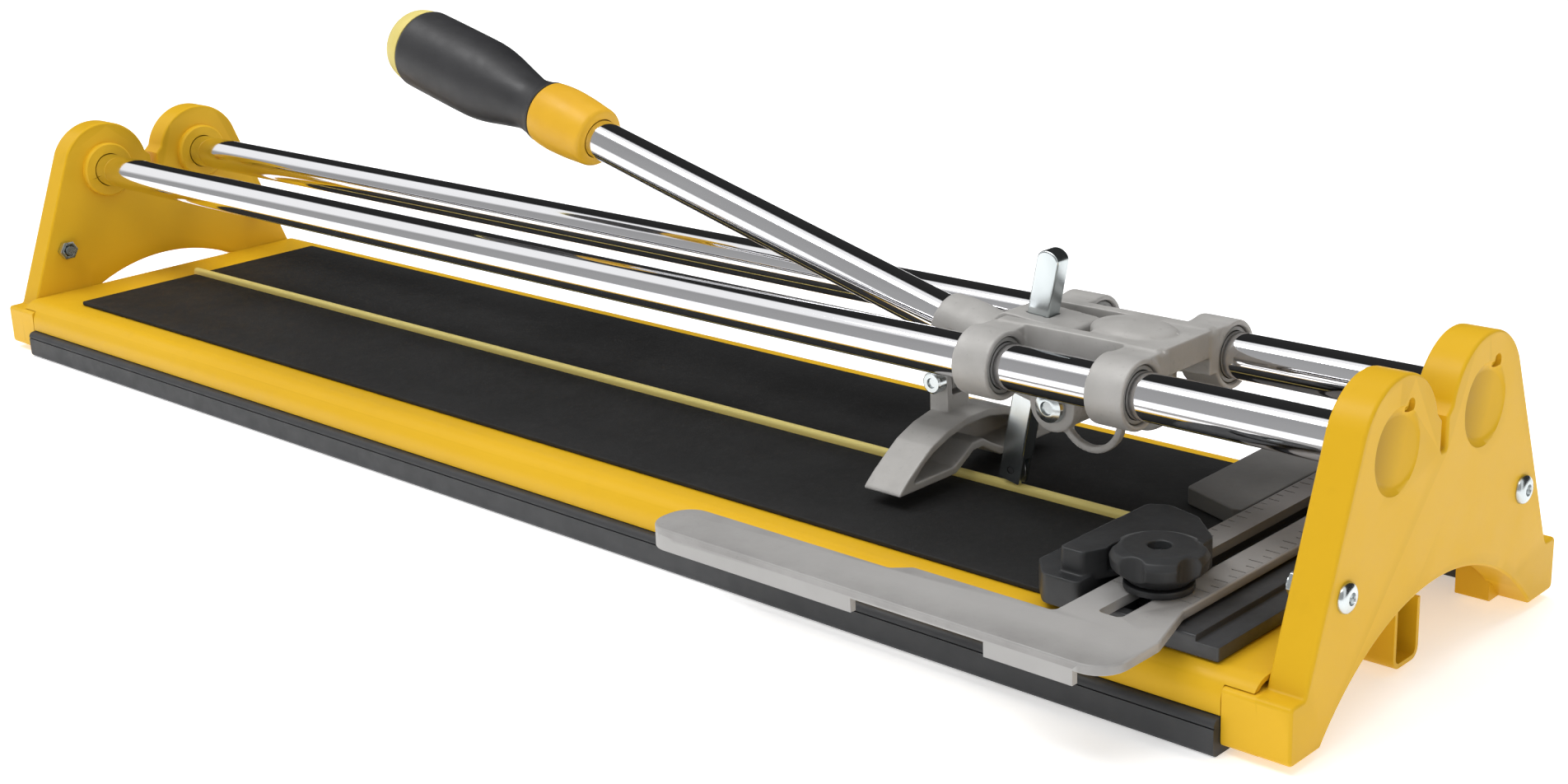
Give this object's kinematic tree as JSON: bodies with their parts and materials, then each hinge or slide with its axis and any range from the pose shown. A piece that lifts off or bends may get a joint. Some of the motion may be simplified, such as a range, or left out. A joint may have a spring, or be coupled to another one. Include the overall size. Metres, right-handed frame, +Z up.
{
  "type": "manual tile cutter",
  "caption": "Manual tile cutter: a folded tray with rubber mats, chromed guide rails between end plates, a sliding carriage with a pivoting handle, and a clamped rip guide.",
  "frame": {"origin": "centre of the whole part's plan at floor level, with the rip guide at its rest position", "axes": "+X along the rails towards the end with the fence, +Y to the back, away from the rip guide, +Z up"},
  "size_m": [0.735, 0.2082, 0.1751],
  "materials": {
    "yellow_paint": "smooth satin yellow paint",
    "pale_yellow": "pale yellow moulding",
    "yellow_plastic": "smooth yellow moulding",
    "black_rubber": "matt black rubber",
    "black_plastic": "matt black moulding",
    "dark_plastic": "matt dark grey moulding",
    "light_casting": "dull light grey",
    "grey_casting": "dull grey die casting",
    "chrome": "bright chrome plate",
    "zinc": "bright zinc plate",
    "hard_steel": "ground hard metal",
    "nylon": "dark grey nylon"
  },
  "bodies": {
    "base": {"base_tray": "yellow_paint", "centre_spine": "yellow_paint", "end_plate_far": "yellow_paint", "end_plate_near": "yellow_paint", "breaking_ridge": "pale_yellow", "mat_front": "black_rubber", "mat_back": "black_rubber", "foot_strip_front": "black_rubber", "foot_strip_back": "black_rubber", "rail_front": "chrome", "rail_back": "chrome", "fence_base": "black_plastic", "fence_rear_plate": "dark_plastic", "fence_screw_front": "zinc", "fence_screw_back": "zinc", "plate_bolt_far_front": "zinc", "plate_bolt_far_back": "zinc", "plate_bolt_near_front": "zinc", "plate_bolt_near_back": "zinc", "plate_nut_far_front": "zinc", "plate_nut_far_back": "zinc", "plate_nut_near_front": "zinc", "plate_nut_near_back": "zinc", "rail_lock_screw_far_front": "zinc", "rail_lock_screw_far_back": "zinc", "rail_lock_screw_near_front": "zinc", "rail_lock_screw_near_back": "zinc"},
    "rip_guide": {"rip_guide": "light_casting"},
    "stop": {"angle_stop": "black_plastic", "clamp_hood": "black_plastic", "clamp_bolt": "zinc"},
    "knob": {"clamp_knob": "black_plastic"},
    "carriage": {"carriage_body": "grey_casting", "pivot_bolt": "zinc", "pivot_nut": "zinc", "rail_bush_front_far": "nylon", "rail_bush_front_near": "nylon", "rail_bush_back_far": "nylon", "rail_bush_back_near": "nylon"},
    "handle": {"handle_casting": "grey_casting", "handle_tube": "chrome", "grip_collar": "yellow_plastic", "grip_sleeve": "black_rubber", "grip_cap": "pale_yellow", "tube_pin": "zinc", "wheel_stem": "zinc", "stem_set_screw": "zinc", "wheel_axle": "hard_steel", "foot_bolt": "zinc", "foot_nut": "zinc"},
    "wheel": {"scoring_wheel": "hard_steel"},
    "foot": {"breaker_foot": "grey_casting"}
  },
  "joints": [
    {"name": "guide_slide", "type": "slide", "parent": "base", "child": "rip_guide", "axis": [0, 1, 0], "range_m": [-0.085, 0.008]},
    {"name": "stop_slide", "type": "slide", "parent": "base", "child": "stop", "axis": [0, 1, 0], "range_m": [-0.004, 0.007]},
    {"name": "knob_turn", "type": "hinge", "parent": "stop", "child": "knob", "pos_m": [0.30525, -0.04465, 0.045], "axis": [0, 0, 1], "continuous": true},
    {"name": "carriage_slide", "type": "slide", "parent": "base", "child": "carriage", "axis": [1, 0, 0], "range_m": [-0.465, 0.045]},
    {"name": "handle_pivot", "type": "hinge", "parent": "carriage", "child": "handle", "pos_m": [0.232, 0.01685, 0.0678], "axis": [0, 1, 0], "range_deg": [0, 10]},
    {"name": "wheel_spin", "type": "hinge", "parent": "handle", "child": "wheel", "pos_m": [0.20327, 0.01685, 0.0345], "axis": [0, 1, 0], "continuous": true},
    {"name": "foot_rock", "type": "hinge", "parent": "handle", "child": "foot", "pos_m": [0.1739, 0.01685, 0.0632], "axis": [0, 1, 0], "range_deg": [-20, 0]}
  ]
}
